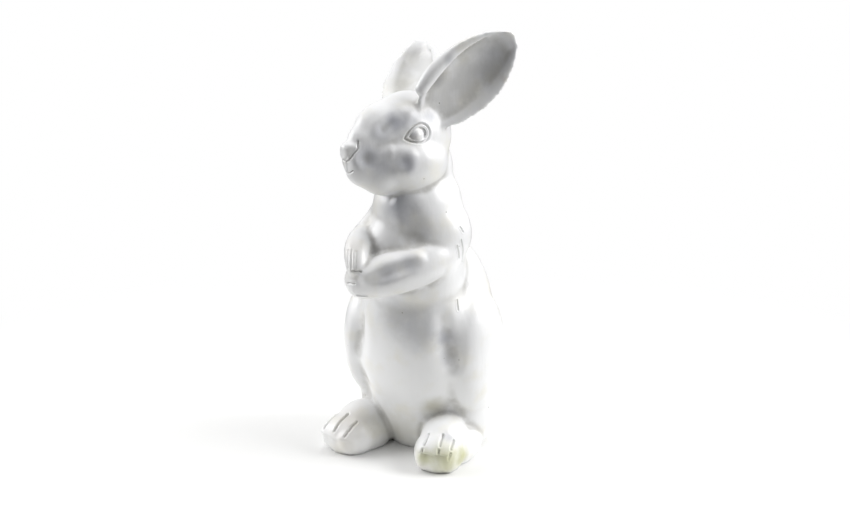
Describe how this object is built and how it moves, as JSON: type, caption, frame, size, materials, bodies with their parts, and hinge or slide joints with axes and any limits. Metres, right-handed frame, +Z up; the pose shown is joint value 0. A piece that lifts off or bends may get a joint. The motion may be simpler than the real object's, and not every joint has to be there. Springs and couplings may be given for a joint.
{
  "type": "rabbit statue",
  "caption": "Standing rabbit garden statue, sitting up on its haunches with paws crossed on its chest and head turned, cast in glossy white resin",
  "frame": {"origin": "on the floor, in the flat underside below the trunk", "axes": "-Y is the way the body faces, +X is the rabbit's own left, +Z is up; the head is turned toward -X"},
  "size_m": [0.2614, 0.2645, 0.6075],
  "materials": {
    "white_resin": "white gloss paint over cast resin, with stains and small pits"
  },
  "bodies": {
    "root": {"rabbit": "white_resin"}
  },
  "joints": []
}
